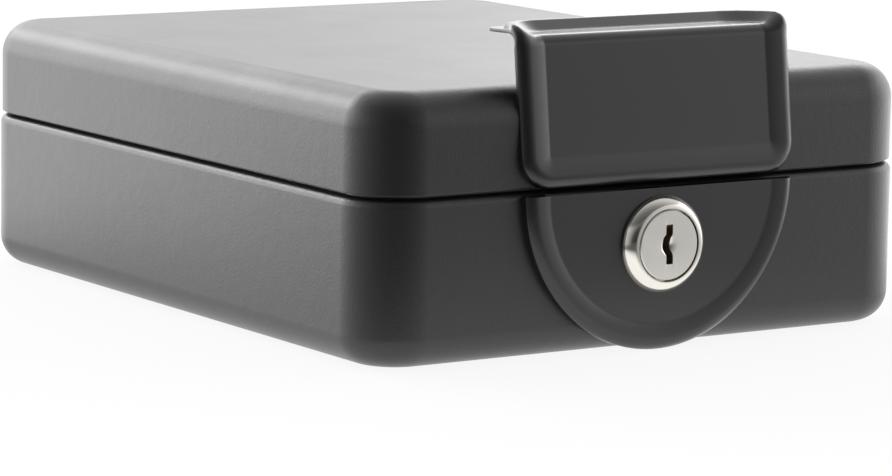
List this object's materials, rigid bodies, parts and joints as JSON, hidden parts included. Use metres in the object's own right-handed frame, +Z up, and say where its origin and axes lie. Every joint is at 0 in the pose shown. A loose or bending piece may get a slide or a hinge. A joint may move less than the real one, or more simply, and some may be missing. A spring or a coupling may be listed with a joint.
{
  "type": "portable car safe",
  "caption": "Small lock box of pressed, powder-coated steel: a tray with a rear-hinged lid, a bent finger grip and a key cam lock on a half-round plate.",
  "frame": {"origin": "on the floor, under the middle of the tray", "axes": "+X to the right as seen from the lock, +Y to the hinges at the back, +Z up through the lid"},
  "size_m": [0.155, 0.1971, 0.0772],
  "materials": {
    "steel": "fine textured charcoal powder coat",
    "stamped": "smooth satin black paint",
    "nickel": "bright nickel plate, lightly brushed",
    "zinc": "zinc-plated steel",
    "brass": "plain sheet brass",
    "foam": "soft black foam sheet"
  },
  "bodies": {
    "base": {"base_tray": "steel", "lock_plate": "stamped", "lock_plate_screw_left": "zinc", "lock_plate_screw_right": "zinc", "lock_housing": "nickel", "lock_washer": "zinc", "lock_nut": "zinc", "base_foam_mat": "foam", "hinge_tray_leaf_left": "steel", "hinge_tray_leaf_right": "steel", "hinge_pin_left": "zinc", "hinge_pin_right": "zinc"},
    "lock": {"lock_plug": "nickel", "lock_wafer_1": "brass", "lock_wafer_2": "brass", "lock_wafer_3": "brass", "lock_wafer_4": "brass", "lock_cam": "zinc", "cam_washer": "zinc", "cam_screw": "zinc"},
    "lid": {"lid_shell": "steel", "handle_plate": "stamped", "handle_screw_left": "zinc", "handle_screw_right": "zinc", "catch_bracket": "zinc", "catch_pin": "zinc", "hinge_lid_leaf_left": "steel", "hinge_lid_leaf_right": "steel", "lid_foam_mat": "foam"}
  },
  "joints": [
    {"name": "lid_hinge", "type": "hinge", "parent": "base", "child": "lid", "pos_m": [0, 0.0941, 0.0395], "axis": [-1, 0, 0], "range_deg": [0, 100]},
    {"name": "lock_turn", "type": "hinge", "parent": "base", "child": "lock", "pos_m": [0, -0.1, 0.025], "axis": [0, -1, 0], "range_deg": [0, 90]}
  ]
}
